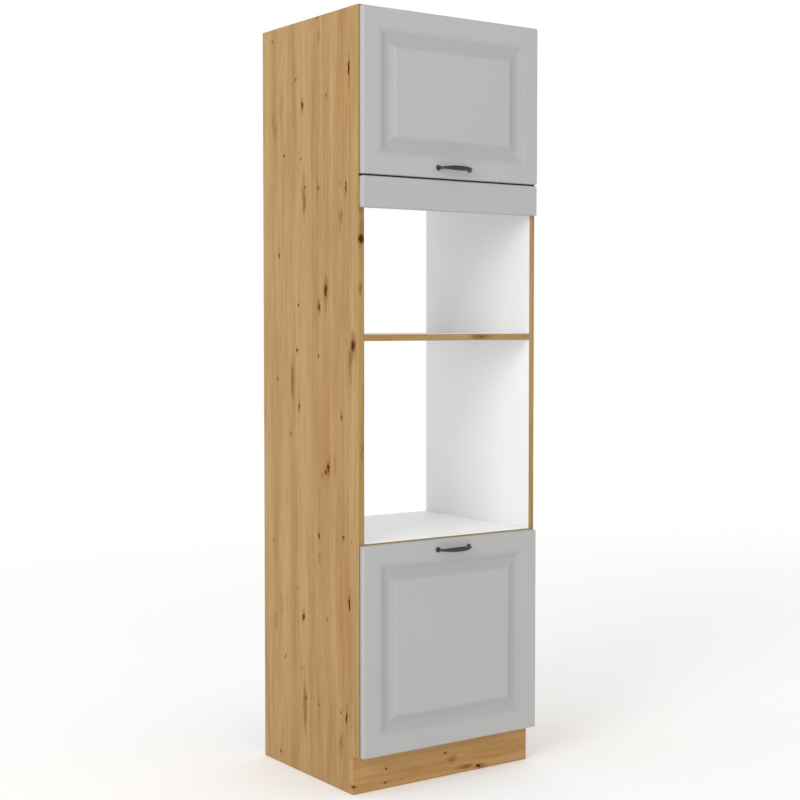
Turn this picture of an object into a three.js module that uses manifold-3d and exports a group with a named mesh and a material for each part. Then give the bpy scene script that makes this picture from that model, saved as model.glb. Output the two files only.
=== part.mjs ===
// Tall kitchen unit that houses a built-in oven and a microwave.
// Millimetres, +Z up, +X to the right, the fronts face -Y.
// Inside the unit group y = 0 is the front plane of the carcass, x = 0 its middle, z = 0 the floor.

import * as THREE from 'three';
import { mergeVertices } from 'three/addons/utils/BufferGeometryUtils.js';
import Module from 'manifold-3d';

const wasm = await Module();
wasm.setup();

// ---------------------------------------------------------------- driving dimensions

const unitWidth = 600;
const unitHeight = 2100;
const carcassDepth = 500;
const board = 18;
const boxBoard = 16;
const hardboard = 3;
const seat = 0.3; // gap between two pieces that touch
const innerHalf = unitWidth / 2 - board;

const toeHeight = 104;
const toeDepth = 30;
const plinthBoard = 16;

// top faces of the shelves, and the underside of the lowest board
const ovenShelfTop = 679;
const microwaveShelfTop = 1236.5;
const cupboardFloorTop = 1663;
const baseUnderside = toeHeight;

const frontGap = 1.5; // the closed fronts rest on soft pads
const frontBoard = 16;
const frontWidth = 594;
const frontEdgeRadius = 5;
const backEdgeEase = 1;
const flapBottom = 1658;
const flapTop = 2096.5;
const fasciaBottom = 1570;
const fasciaTop = 1654;
const drawerFrontBottom = 105.5;
const drawerFrontTop = 675.5;

// moulding round the raised panel, each point [inset from the edge of the front, depth below its face];
// the cove's four points are those of a Bezier curve
const mouldingStep = [[50.2, 0], [51, 0.5], [51.9, 0.9]];
const mouldingGroove = [[55.4, 0.95], [56.7, 3], [57.6, 3], [59.4, 1.45]];
const mouldingCove = [[61, 1.5], [68.6, 6.9], [80, 9.6], [91, 5.3]];
const fieldInset = 105;

const handleLength = 121;
const handleProjection = 32;
const handleEdgeDistance = 28;
const handleScrewPitch = 96;
const footRadius = 7.5;
const footThickness = 4;
const neckThickness = 6.6;
const neckHeight = 7.4;
const gripThickness = 7.6;
const gripHeight = 13.2;
const gripSwell = { from: 0.17, to: 0.47 }; // share of the way along the bow, from either end
const handleScrewDiameter = 4;
const handleScrewHead = 8;
const padRadius = 4;
const padInset = 30;

// brackets inside the carcass
const bracketMetal = 2.5;
const cornerLeg = 30;
const wallLeg = 40;
const wallBracketCentre = 180;
const fasciaBracketBottom = 1604;
const plinthBracketBottom = 42;

// lift-up flap: cup, link and arm of the concealed hinges, gas struts
const hingeCentre = 200;
const cupDrop = 21;
const cupRadius = 17.3;
const cupDepth = 12;
const cupWall = 1;
const linkPin = { y: -6, z: 2068 };
const linkEnd = { y: -4.29, z: 2087.31 };
const linkRadius = 1.6;
const linkHalfWidth = 4;
const strutCentre = 267;
const strutWallPin = { y: 30, z: 2060 };
const strutDoorPin = { y: 14, z: flapTop - 175.5 };
const strutBarrelRadius = 7.5;
const strutBarrelLength = 118;
const strutRodRadius = 3;
const strutStudRadius = 3.2;

// drawer box and its ball-bearing runners
const runnerThickness = 12.7;
const runnerHeight = 45;
const runnerLength = 450;
const runnerSetback = 2;
const runnerCentre = 206;
const drawerDepth = 450;
const drawerBottomEdge = 140;
const drawerSideHeight = 260;
const drawerGrooveRise = 12;
const drawerGrooveDepth = 6;

// the origin lies under the middle of the whole box, handles and back panels included
const depthAhead = frontGap + frontBoard + seat / 2 + handleProjection;
const depthBehind = carcassDepth + seat + hardboard;
const carcassFrontY = (depthAhead - depthBehind) / 2;

// ---------------------------------------------------------------- finishes

function finish(color, roughness, metalness) {
  return new THREE.MeshStandardMaterial({ color, roughness, metalness });
}

const oakDecor = finish(0xbc9968, 0.55, 0);
const whiteLaminate = finish(0xe9e9e7, 0.5, 0);
const whiteHardboard = finish(0xdedddb, 0.7, 0);
const greyFoil = finish(0xb9b9b8, 0.45, 0);
const graphiteMetal = finish(0x3b3b3c, 0.45, 0.8);
const zincSteel = finish(0xb4b6b8, 0.35, 0.9);
const nickelSteel = finish(0xc4c4c2, 0.25, 0.95);
const strutPaint = finish(0xc9cac9, 0.4, 0.3);
const clearPad = finish(0xd8dadb, 0.3, 0);

// ---------------------------------------------------------------- shape helpers

function block(x0, x1, y0, y1, z0, z1) {
  const geometry = new THREE.BoxGeometry(Math.abs(x1 - x0), Math.abs(y1 - y0), Math.abs(z1 - z0));
  return geometry.translate((x0 + x1) / 2, (y0 + y1) / 2, (z0 + z1) / 2);
}

// round bar along X or Y between two places on that axis
function bar(axis, radius, from, to, a, b, sides = 16) {
  const geometry = new THREE.CylinderGeometry(radius, radius, Math.abs(to - from), sides);
  const middle = (from + to) / 2;
  if (axis === 'x') return geometry.rotateZ(Math.PI / 2).translate(middle, a, b);
  return geometry.translate(a, middle, b);
}

function shapeOf(points) {
  return new THREE.Shape(points.map(([u, v]) => new THREE.Vector2(u, v)));
}

// outline in Y and Z, extruded along X from x0 to x1
function acrossX(shape, x0, x1) {
  const options = { depth: x1 - x0, bevelEnabled: false, curveSegments: 8 };
  const turn = new THREE.Matrix4().set(0, 0, 1, x0, 1, 0, 0, 0, 0, 1, 0, 0, 0, 0, 0, 1);
  return new THREE.ExtrudeGeometry(shape, options).applyMatrix4(turn);
}

// outline in X and Z, extruded along Y from y0 to y1
function alongY(shape, y0, y1) {
  const options = { depth: y1 - y0, bevelEnabled: false };
  return new THREE.ExtrudeGeometry(shape, options).rotateX(Math.PI / 2).translate(0, y1, 0);
}

function solidOf(geometry) {
  const bare = geometry.clone();
  bare.deleteAttribute('normal');
  bare.deleteAttribute('uv');
  const merged = mergeVertices(bare, 1e-4);
  const vertProperties = new Float32Array(merged.attributes.position.array);
  const triVerts = new Uint32Array(merged.index.array);
  return new wasm.Manifold(new wasm.Mesh({ numProp: 3, vertProperties, triVerts }));
}

function geometryOf(solid) {
  const mesh = solid.getMesh();
  const geometry = new THREE.BufferGeometry();
  geometry.setAttribute('position', new THREE.BufferAttribute(mesh.vertProperties, 3));
  geometry.setIndex(new THREE.BufferAttribute(mesh.triVerts, 1));
  geometry.computeVertexNormals();
  return geometry;
}

function carve(geometry, cutters) {
  const cut = cutters.reduce((rest, cutter) => rest.subtract(solidOf(cutter)), solidOf(geometry));
  return geometryOf(cut);
}

function weld(...pieces) {
  const whole = pieces.slice(1).reduce((sum, piece) => sum.add(solidOf(piece)), solidOf(pieces[0]));
  return geometryOf(whole);
}

function add(group, name, geometry, material) {
  const mesh = new THREE.Mesh(geometry, material);
  mesh.name = name;
  group.add(mesh);
  return mesh;
}

const sides = [{ name: 'left', sign: -1 }, { name: 'right', sign: 1 }];

// ---------------------------------------------------------------- carcass

function sidePanel(sign) {
  const notch = toeDepth + plinthBoard + seat;
  const outline = shapeOf([
    [notch, 0], [carcassDepth, 0], [carcassDepth, unitHeight],
    [0, unitHeight], [0, toeHeight], [notch, toeHeight],
  ]);
  const outer = sign * unitWidth / 2;
  const inner = sign * innerHalf;
  return acrossX(outline, Math.min(outer, inner), Math.max(outer, inner));
}

// a level board between the side panels
function shelf(top) {
  const half = innerHalf - seat;
  return block(-half, half, 0, carcassDepth, top - board, top);
}

function backPanel(from, to) {
  const half = unitWidth / 2 - 2;
  const y0 = carcassDepth + seat;
  return block(-half, half, y0, y0 + hardboard, from, to);
}

// angle piece: one leg on the side panel, one behind a front board
function cornerBracket(sign, y, z) {
  const width = 24;
  const wall = innerHalf - seat;
  return weld(
    block(sign * (wall - bracketMetal), sign * wall, y, y + cornerLeg, z, z + width),
    block(sign * (wall - cornerLeg), sign * wall, y, y + bracketMetal, z, z + width),
  );
}

// angle piece under the top panel, to which the wall fixing is screwed
function wallBracket(x) {
  const halfWidth = 15;
  const z1 = unitHeight - board - seat;
  const y1 = carcassDepth;
  return weld(
    block(x - halfWidth, x + halfWidth, y1 - wallLeg, y1, z1 - bracketMetal, z1),
    block(x - halfWidth, x + halfWidth, y1 - bracketMetal, y1, z1 - wallLeg, z1),
  );
}

function buildCarcass() {
  const carcass = new THREE.Group();
  for (const { name, sign } of sides) add(carcass, `${name}_side_panel`, sidePanel(sign), oakDecor);
  add(carcass, 'top_panel', shelf(unitHeight), oakDecor);
  add(carcass, 'cupboard_floor', shelf(cupboardFloorTop), whiteLaminate);
  add(carcass, 'microwave_shelf', shelf(microwaveShelfTop), whiteLaminate);
  add(carcass, 'oven_shelf', shelf(ovenShelfTop), whiteLaminate);
  add(carcass, 'base_panel', shelf(baseUnderside + board), whiteLaminate);

  const overlap = board - 2;
  add(carcass, 'upper_back_panel', backPanel(cupboardFloorTop - overlap, unitHeight - 2), whiteHardboard);
  add(carcass, 'lower_back_panel', backPanel(baseUnderside + 2, ovenShelfTop - 2), whiteHardboard);

  const plinthHalf = unitWidth / 2;
  const plinth = block(-plinthHalf, plinthHalf, toeDepth, toeDepth + plinthBoard, 0, toeHeight - 2 * seat);
  add(carcass, 'plinth_board', plinth, oakDecor);
  const fascia = plainFront(fasciaTop - fasciaBottom);
  add(carcass, 'fascia_panel', fascia, greyFoil).position.set(0, -seat, (fasciaTop + fasciaBottom) / 2);

  const behindPlinth = toeDepth + plinthBoard + seat;
  for (const { name, sign } of sides) {
    add(carcass, `fascia_bracket_${name}`, cornerBracket(sign, 0, fasciaBracketBottom), zincSteel);
    add(carcass, `plinth_bracket_${name}`, cornerBracket(sign, behindPlinth, plinthBracketBottom), zincSteel);
    add(carcass, `wall_bracket_${name}`, wallBracket(sign * wallBracketCentre), zincSteel);
  }
  return carcass;
}

// ---------------------------------------------------------------- fronts

// a slab made of rectangular rings, each [inset, y], closed by its first and last ring
function ringedSlab(width, height, rings) {
  const positions = [];
  const index = [];
  for (const [inset, y] of rings) {
    const x = width / 2 - inset;
    const z = height / 2 - inset;
    positions.push(-x, y, -z, x, y, -z, x, y, z, -x, y, z);
  }
  for (let ring = 0; ring < rings.length - 1; ring++) {
    for (let corner = 0; corner < 4; corner++) {
      const a = 4 * ring + corner;
      const b = 4 * ring + (corner + 1) % 4;
      index.push(a, b, b + 4, a, b + 4, a + 4);
    }
  }
  const last = 4 * (rings.length - 1);
  index.push(0, 2, 1, 0, 3, 2, last, last + 1, last + 2, last, last + 2, last + 3);
  const geometry = new THREE.BufferGeometry();
  geometry.setAttribute('position', new THREE.Float32BufferAttribute(positions, 3));
  geometry.setIndex(index);
  geometry.computeVertexNormals();
  return geometry;
}

// back edge eased, front edge rounded by an arc; the back lies at y = 0
function edgeRings() {
  const rings = [[backEdgeEase, 0], [0, -backEdgeEase]];
  const steps = 4;
  for (let step = 0; step <= steps; step++) {
    const angle = step / steps * Math.PI / 2;
    const inset = frontEdgeRadius * (1 - Math.cos(angle));
    rings.push([inset, -frontBoard + frontEdgeRadius * (1 - Math.sin(angle))]);
  }
  return rings;
}

function plainFront(height) {
  return ringedSlab(frontWidth, height, edgeRings());
}

// a small step and a bead, a narrow groove, a cove that dips and rises to a straight bevel, the raised field
function raisedFront(height) {
  const covePlaces = mouldingCove.map(([inset, depth]) => new THREE.Vector2(inset, depth));
  const cove = new THREE.CubicBezierCurve(...covePlaces);
  const covePoints = cove.getPoints(8).map(({ x, y }) => [x, y]);
  const moulding = [...mouldingStep, ...mouldingGroove, ...covePoints, [fieldInset, 0]];
  const rings = moulding.map(([inset, depth]) => [inset, depth - frontBoard]);
  return ringedSlab(frontWidth, height, [...edgeRings(), ...rings]);
}

// holes for the two handle screws, right through the front
function handleHoles(z) {
  const hole = (handleScrewDiameter + 1) / 2;
  return sides.map(({ sign }) => bar('y', hole, -frontBoard - 1, 1, sign * handleScrewPitch / 2, z, 12));
}

// ---------------------------------------------------------------- handles

// local frame: back of the feet at y = 0, the grip swells out towards -Y
function bowGrip() {
  const reach = handleProjection - gripThickness / 2;
  const footX = handleLength / 2 - footRadius;
  const half = [[footX, 2], [footX - 1.5, 9], [footX - 7, 17], [footX - 18, 23.5], [footX - 34, 27.4]];
  const left = half.map(([x, out]) => new THREE.Vector3(-x, -out, 0));
  const right = half.map(([x, out]) => new THREE.Vector3(x, -out, 0)).reverse();
  const path = new THREE.CatmullRomCurve3([...left, new THREE.Vector3(0, -reach, 0), ...right]);
  const steps = 28;
  const geometry = new THREE.CylinderGeometry(1, 1, 1, 12, steps);
  const place = geometry.attributes.position;
  const upward = new THREE.Vector3(0, 0, 1);
  for (let i = 0; i < place.count; i++) {
    const along = THREE.MathUtils.clamp(place.getY(i) + 0.5, 0, 1);
    const swell = THREE.MathUtils.smoothstep(Math.min(along, 1 - along), gripSwell.from, gripSwell.to);
    const thickness = THREE.MathUtils.lerp(neckThickness, gripThickness, swell);
    const height = THREE.MathUtils.lerp(neckHeight, gripHeight, swell);
    const outward = new THREE.Vector3().crossVectors(path.getTangent(along), upward);
    const point = path.getPoint(along)
      .addScaledVector(outward, place.getX(i) * thickness / 2)
      .addScaledVector(upward, place.getZ(i) * height / 2);
    place.setXYZ(i, point.x, point.y, point.z);
  }
  return geometry;
}

function foot(x) {
  const domed = [
    [0, 0], [footRadius, 0], [footRadius, footThickness * 0.5],
    [footRadius * 0.8, footThickness], [0, footThickness],
  ];
  const points = domed.map(([r, out]) => new THREE.Vector2(r, -out));
  return new THREE.LatheGeometry(points.reverse(), 16).translate(x, 0, 0);
}

function handle() {
  const footX = handleLength / 2 - footRadius;
  const whole = weld(bowGrip(), foot(-footX), foot(footX));
  const deep = 9;
  const hole = handleScrewDiameter / 2 + seat;
  return carve(whole, sides.map(({ sign }) => bar('y', hole, -deep, 1, sign * handleScrewPitch / 2, 0, 12)));
}

// pan head behind the front, shank through it into the foot
function handleScrew() {
  const headHeight = 2.4;
  const reachInFoot = 6;
  const profile = [
    [0, headHeight], [handleScrewHead / 2 - 1, headHeight], [handleScrewHead / 2, headHeight / 2],
    [handleScrewHead / 2, seat], [handleScrewDiameter / 2, seat],
    [handleScrewDiameter / 2, -frontBoard - reachInFoot], [0, -frontBoard - reachInFoot],
  ];
  return new THREE.LatheGeometry(profile.map(([r, y]) => new THREE.Vector2(r, y)).reverse(), 12);
}

function addHandle(group, prefix, z) {
  const faceY = -frontGap - frontBoard - seat / 2;
  add(group, `${prefix}_handle`, handle(), graphiteMetal).position.set(0, faceY, z);
  for (const { name, sign } of sides) {
    const screw = add(group, `${prefix}_handle_screw_${name}`, handleScrew(), zincSteel);
    screw.position.set(sign * handleScrewPitch / 2, -frontGap, z);
  }
}

// soft clear pad between a front and the edge of a side panel
function addPads(group, prefix, z) {
  for (const { name, sign } of sides) {
    const middle = unitWidth / 2 - board / 2;
    const pad = bar('y', padRadius, -frontGap + seat / 2, -seat / 2, sign * middle, z, 12);
    add(group, `${prefix}_pad_${name}`, pad, clearPad);
  }
}

// ---------------------------------------------------------------- lift-up flap

// bowl let into the back of the flap, with two screw wings
function hingeCup(x, z) {
  const mouth = -frontGap + seat;
  const deepest = mouth - cupDepth;
  const inner = cupRadius - cupWall;
  const bowl = [
    [0, deepest], [cupRadius - 1.5, deepest], [cupRadius, deepest + 1.5], [cupRadius, mouth],
    [inner, mouth], [inner, deepest + 2], [inner - 1, deepest + cupWall], [0, deepest + cupWall],
  ];
  const shell = new THREE.LatheGeometry(bowl.map(([r, y]) => new THREE.Vector2(r, y)), 28);
  const wingReach = 26;
  const wingHalf = 8;
  const wings = block(-wingReach, wingReach, mouth, mouth + 0.7, -wingHalf, wingHalf);
  const opening = bar('y', inner, mouth - 0.5, mouth + 1, 0, 0, 28);
  const notchHalf = linkHalfWidth + seat;
  const notch = block(-notchHalf, notchHalf, mouth - 4, mouth + 1, inner - 3, cupRadius + 1);
  return carve(weld(shell, carve(wings, [opening])), [notch]).translate(x, 0, z);
}

// pressed arm under the top board; its forked tip reaches into the cup
function hingeArm(x) {
  const under = unitHeight - board - seat - 3;
  const outline = new THREE.Shape();
  outline.moveTo(linkPin.y, linkPin.z - 3.4);
  outline.lineTo(14, linkPin.z - 3.4);
  outline.lineTo(24, under - 8);
  outline.lineTo(66, under - 8);
  outline.lineTo(70, under - 4);
  outline.lineTo(70, under - seat);
  outline.lineTo(16, under - seat);
  outline.lineTo(4, linkPin.z + 3.4);
  outline.lineTo(linkPin.y, linkPin.z + 3.4);
  outline.absarc(linkPin.y, linkPin.z, 3.4, Math.PI / 2, Math.PI * 1.5, false);
  const halfWidth = 6.5;
  const slotHalf = 4.4;
  const fork = block(-slotHalf, slotHalf, linkPin.y - 5, linkPin.y + 8, linkPin.z - 6, linkPin.z + 6);
  const hollow = block(-slotHalf - 0.8, slotHalf + 0.8, 20, 75, under - 20, under - 2.5);
  return carve(acrossX(outline, -halfWidth, halfWidth), [fork, hollow]).translate(x, 0, 0);
}

function hingePlate(x) {
  const z1 = unitHeight - board - seat;
  const along = block(x - 9, x + 9, 20, 72, z1 - 2.7, z1);
  const wings = block(x - 24, x + 24, 29, 45, z1 - 2.7, z1);
  return weld(along, wings);
}

// short flat link between the arm's tip and the cup, with rounded ends
function hingeLink(x) {
  const length = Math.hypot(linkEnd.y - linkPin.y, linkEnd.z - linkPin.z);
  const tilt = Math.atan2(linkEnd.z - linkPin.z, linkEnd.y - linkPin.y);
  const outline = new THREE.Shape();
  outline.absarc(0, 0, linkRadius, Math.PI / 2, Math.PI * 1.5, false);
  outline.absarc(length, 0, linkRadius, -Math.PI / 2, Math.PI / 2, false);
  const link = acrossX(outline, x - linkHalfWidth, x + linkHalfWidth);
  return link.rotateX(tilt).translate(0, linkPin.y, linkPin.z);
}

function strutWallBracket(sign) {
  const { y, z } = strutWallPin;
  const wall = innerHalf - seat;
  const plate = block(sign * wall, sign * (wall - 2), y - 9, y + 9, z - 20, z + 14);
  const stud = bar('x', strutStudRadius, sign * (wall - 1), sign * (strutCentre - 5), y, z, 12);
  return weld(plate, stud);
}

// barrel closed at the foot, open for the rod; its eye turns on the wall stud
function strutBarrel() {
  const bore = strutRodRadius + 0.5;
  const profile = [
    [0, 8], [4, 8], [strutBarrelRadius - 1, 11], [strutBarrelRadius, 13],
    [strutBarrelRadius, strutBarrelLength - 2], [strutBarrelRadius - 1, strutBarrelLength],
    [bore, strutBarrelLength], [bore, 20], [0, 20],
  ];
  const barrel = new THREE.LatheGeometry(profile.map(([r, h]) => new THREE.Vector2(r, h)), 16);
  const eye = bar('x', 7, -3, 3, 0, 0, 16);
  const neck = block(-2.5, 2.5, 3, 10, -3, 3);
  return carve(weld(barrel, eye, neck), [bar('x', strutStudRadius + seat, -4, 4, 0, 0, 16)]);
}

function strutRod(restLength) {
  const tip = restLength - 5;
  const rod = bar('y', strutRodRadius, 22, tip, 0, 0, 12);
  const eye = bar('x', 6, -3, 3, restLength, 0, 16);
  return weld(rod, eye);
}

// plate on the back of the flap with a tab whose stud ends beside the rod's eye
function strutDoorBracket(sign) {
  const { y, z } = strutDoorPin;
  const face = -frontGap + seat;
  const tab = shapeOf([
    [face, z - 12], [y - 2, z - 6], [y + 5, z - 5], [y + 5, z + 5], [y - 2, z + 6], [face, z + 12],
  ]);
  const near = strutCentre + 5;
  const far = strutCentre + 7.5;
  const cheek = acrossX(tab, Math.min(sign * near, sign * far), Math.max(sign * near, sign * far));
  const plate = block(sign * (strutCentre - 8), sign * far, face, face + 2, z - 16, z + 16);
  const stud = bar('x', 3.5, sign * (strutCentre + 3.4), sign * (near + 1), y, z, 12);
  return weld(cheek, plate, stud);
}

function buildFlap(unit) {
  const flap = new THREE.Group();
  const height = flapTop - flapBottom;
  const middle = (flapTop + flapBottom) / 2;
  const handleZ = flapBottom + handleEdgeDistance;
  const cupZ = flapTop - cupDrop;
  const bores = sides.map(({ sign }) => (
    bar('y', cupRadius + seat, -cupDepth - seat, 1, sign * hingeCentre, cupZ - middle, 28)
  ));
  const slab = carve(raisedFront(height), [...handleHoles(handleZ - middle), ...bores]);
  add(flap, 'upper_flap', slab, greyFoil).position.set(0, -frontGap, middle);
  addHandle(flap, 'upper', handleZ);
  addPads(flap, 'flap', flapBottom + padInset);

  const rise = new THREE.Vector2(strutDoorPin.y - strutWallPin.y, strutDoorPin.z - strutWallPin.z);
  for (const { name, sign } of sides) {
    const x = sign * hingeCentre;
    add(flap, `hinge_cup_${name}`, hingeCup(x, cupZ), nickelSteel);
    add(unit, `hinge_link_${name}`, hingeLink(x), nickelSteel);
    add(unit, `hinge_arm_${name}`, hingeArm(x), nickelSteel);
    add(unit, `hinge_plate_${name}`, hingePlate(x), nickelSteel);
    add(unit, `strut_wall_bracket_${name}`, strutWallBracket(sign), zincSteel);
    add(flap, `strut_flap_bracket_${name}`, strutDoorBracket(sign), zincSteel);

    const strut = new THREE.Group();
    strut.position.set(sign * strutCentre, strutWallPin.y, strutWallPin.z);
    strut.rotation.x = rise.angle();
    add(strut, `strut_barrel_${name}`, strutBarrel(), strutPaint);
    add(strut, `strut_rod_${name}`, strutRod(rise.length()), nickelSteel);
    unit.add(strut);
  }
  return flap;
}

// ---------------------------------------------------------------- drawer

function drawerSide(sign) {
  const outer = innerHalf - runnerThickness - 2 * seat;
  const inner = outer - boxBoard;
  const z0 = drawerBottomEdge;
  const z1 = z0 + drawerSideHeight;
  const side = block(sign * outer, sign * inner, -frontGap + seat, drawerDepth - frontGap, z0, z1);
  const grooveZ = z0 + drawerGrooveRise;
  const groove = block(
    sign * (inner - 1), sign * (inner + drawerGrooveDepth), -frontGap - 1, drawerDepth,
    grooveZ - seat, grooveZ + hardboard + seat,
  );
  return carve(side, [groove]);
}

// board across the drawer between its sides, with a groove for the bottom on the inner face
function drawerCross(y0, innerFaceY) {
  const half = innerHalf - runnerThickness - 3 * seat - boxBoard;
  const z0 = drawerBottomEdge;
  const cross = block(-half, half, y0, y0 + boxBoard, z0, z0 + drawerSideHeight);
  const grooveZ = z0 + drawerGrooveRise;
  const groove = block(
    -half - 1, half + 1, innerFaceY - drawerGrooveDepth, innerFaceY + drawerGrooveDepth,
    grooveZ - seat, grooveZ + hardboard + seat,
  );
  return carve(cross, [groove]);
}

// pressed channel of a runner: outline in x (from the side panel) and z, open away from the panel
function channel(near, far, half, lip) {
  const metal = 1.2;
  return [
    [near, -half], [far, -half], [far, -half + lip], [far - metal, -half + lip], [far - metal, -half + metal],
    [near + metal, -half + metal], [near + metal, half - metal], [far - metal, half - metal],
    [far - metal, half - lip], [far, half - lip], [far, half], [near, half],
  ];
}

function runnerMember(sign, outline) {
  const wall = innerHalf - seat;
  const placed = outline.map(([x, z]) => [sign * (wall - x), runnerCentre + z]);
  return alongY(shapeOf(placed), runnerSetback, runnerSetback + runnerLength);
}

function buildDrawer(unit) {
  const drawer = new THREE.Group();
  const height = drawerFrontTop - drawerFrontBottom;
  const middle = (drawerFrontTop + drawerFrontBottom) / 2;
  const handleZ = drawerFrontTop - handleEdgeDistance;
  const slab = carve(raisedFront(height), handleHoles(handleZ - middle));
  add(drawer, 'drawer_front', slab, greyFoil).position.set(0, -frontGap, middle);
  addHandle(drawer, 'lower', handleZ);
  addPads(drawer, 'drawer', drawerFrontTop - padInset);

  const frontFace = -frontGap + seat;
  const backFace = drawerDepth - frontGap - boxBoard;
  add(drawer, 'drawer_box_front', drawerCross(frontFace, frontFace + boxBoard), whiteLaminate);
  add(drawer, 'drawer_box_back', drawerCross(backFace, backFace), whiteLaminate);
  const grooveZ = drawerBottomEdge + drawerGrooveRise;
  const bottomInset = drawerGrooveDepth - 1;
  const bottomHalf = innerHalf - runnerThickness - 2 * seat - boxBoard + bottomInset;
  const bottom = block(
    -bottomHalf, bottomHalf, frontFace + boxBoard - bottomInset, backFace + bottomInset,
    grooveZ, grooveZ + hardboard,
  );
  add(drawer, 'drawer_bottom', bottom, whiteHardboard);

  // three nested members; the inner one turns its back to the drawer side
  const innerNear = 4.4;
  const outer = channel(0, 10.5, runnerHeight / 2, 2.4);
  const middleMember = channel(2.2, 11, runnerHeight / 2 - 2.9, 3);
  const inner = channel(innerNear, runnerThickness, runnerHeight / 2 - 7, 3)
    .map(([x, z]) => [innerNear + runnerThickness - x, z]);
  for (const { name, sign } of sides) {
    add(drawer, `drawer_side_${name}`, drawerSide(sign), whiteLaminate);
    add(unit, `runner_outer_${name}`, runnerMember(sign, outer), zincSteel);
    add(unit, `runner_middle_${name}`, runnerMember(sign, middleMember), zincSteel);
    add(drawer, `runner_inner_${name}`, runnerMember(sign, inner), zincSteel);
  }
  return drawer;
}

// ---------------------------------------------------------------- the whole unit

const unit = new THREE.Group();
unit.position.y = carcassFrontY;
unit.add(buildCarcass(), buildFlap(unit), buildDrawer(unit));

const tallOvenUnit = new THREE.Group();
tallOvenUnit.add(unit);

export default tallOvenUnit;
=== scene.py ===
import math

import bmesh
import bpy
from mathutils import Matrix, Vector


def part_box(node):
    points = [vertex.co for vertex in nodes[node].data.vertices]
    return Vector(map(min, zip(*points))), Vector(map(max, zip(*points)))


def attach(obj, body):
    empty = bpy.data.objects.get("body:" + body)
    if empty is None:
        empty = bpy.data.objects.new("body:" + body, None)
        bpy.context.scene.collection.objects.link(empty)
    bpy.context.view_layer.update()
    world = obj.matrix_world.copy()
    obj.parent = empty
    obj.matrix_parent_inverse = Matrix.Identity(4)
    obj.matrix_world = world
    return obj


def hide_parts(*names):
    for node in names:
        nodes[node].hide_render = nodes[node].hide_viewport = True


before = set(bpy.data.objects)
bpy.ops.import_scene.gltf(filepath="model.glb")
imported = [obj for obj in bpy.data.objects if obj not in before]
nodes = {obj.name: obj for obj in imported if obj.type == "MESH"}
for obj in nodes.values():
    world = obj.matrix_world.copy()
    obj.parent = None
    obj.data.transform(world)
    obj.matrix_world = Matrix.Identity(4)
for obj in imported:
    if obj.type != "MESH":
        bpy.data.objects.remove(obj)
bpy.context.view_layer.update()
mm = 0.001
quarter = math.pi / 2
sides = {"left": -1, "right": 1}

facing = 0.6                  # a face looks along an axis when its normal's share of it is above this
spread = (0.3, 0.7)           # most of a noise's values lie between these

sideLow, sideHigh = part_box("left_side_panel")
carcassFront = sideLow.y      # the plane of the carcass's front edges
unitTop = sideHigh.z


# a place in the unit: x from its middle, y from the carcass's front plane, z from the floor, in mm
def unitPlace(x, y, z):
    return Vector((x * mm, carcassFront + y * mm, z * mm))


# nodes for the materials
def addNode(tree, kind, inputs=None, **settings):
    node = tree.nodes.new(kind)
    for name, value in settings.items():
        setattr(node, name, value)
    for name, value in (inputs or {}).items():
        plug(tree, node.inputs[name], value)
    return node


def plug(tree, socket, value):
    if hasattr(value, "is_output"):
        tree.links.new(value, socket)
    else:
        socket.default_value = value


def mathNode(tree, operation, first, second=0.0, third=0.0):
    inputs = {0: first, 1: second, 2: third}
    return addNode(tree, "ShaderNodeMath", inputs, operation=operation).outputs[0]


def vectorNode(tree, operation, first, second=(0, 0, 0)):
    node = addNode(tree, "ShaderNodeVectorMath", {0: first, 1: second}, operation=operation)
    return node.outputs["Value" if operation in ("LENGTH", "DOT_PRODUCT") else "Vector"]


def mixColor(tree, factor, first, second, blend="MIX"):
    inputs = {0: factor, 6: first, 7: second}      # 6 and 7 are the two colours
    return addNode(tree, "ShaderNodeMix", inputs, data_type="RGBA", blend_type=blend).outputs[2]


def fade(tree, value, fromLow, fromHigh, toLow=0.0, toHigh=1.0):
    inputs = {0: value, 1: fromLow, 2: fromHigh, 3: toLow, 4: toHigh}
    return addNode(tree, "ShaderNodeMapRange", inputs, interpolation_type="SMOOTHSTEP").outputs[0]


# fineness: how many patches to a metre, one number or one for each axis
def noise(tree, place, fineness, detail=3.0, rough=0.5, twist=0.0):
    scale = fineness if isinstance(fineness, tuple) else (fineness,) * 3
    squeezed = addNode(tree, "ShaderNodeMapping", {"Vector": place, "Scale": scale})
    inputs = {"Vector": squeezed.outputs[0], "Scale": 1.0, "Detail": detail, "Roughness": rough,
              "Distortion": twist}
    return addNode(tree, "ShaderNodeTexNoise", inputs).outputs["Fac"]


def ramp(tree, factor, stops):
    node = addNode(tree, "ShaderNodeValToRGB", {"Fac": factor})
    elements = node.color_ramp.elements
    while len(elements) < len(stops):
        elements.new(0.5)
    for element, (position, color) in zip(elements, stops):
        element.position = position
        element.color = color
    return node.outputs["Color"]


# the first colour where a noise is low, the second where it is high
def twoTone(tree, value, first, second):
    return ramp(tree, value, list(zip(spread, (first, second))))


# a colour as it is seen on screen, 0 to 255, turned into the linear value that a shader takes
def tone(red, green, blue):
    def linear(value):
        share = value / 255
        return share / 12.92 if share <= 0.04045 else ((share + 0.055) / 1.055) ** 2.4
    return (linear(red), linear(green), linear(blue), 1)


def newMaterial(name, roughness=0.5, metallic=0.0, specular=0.5):
    material = bpy.data.materials.new(name)
    material.use_nodes = True
    tree = material.node_tree
    tree.nodes.clear()
    shader = addNode(tree, "ShaderNodeBsdfPrincipled", {"Roughness": roughness, "Metallic": metallic,
                                                        "Specular IOR Level": specular})
    addNode(tree, "ShaderNodeOutputMaterial", {"Surface": shader.outputs[0]})
    place = addNode(tree, "ShaderNodeTexCoord").outputs["Object"]
    return material, tree, shader, place


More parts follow.
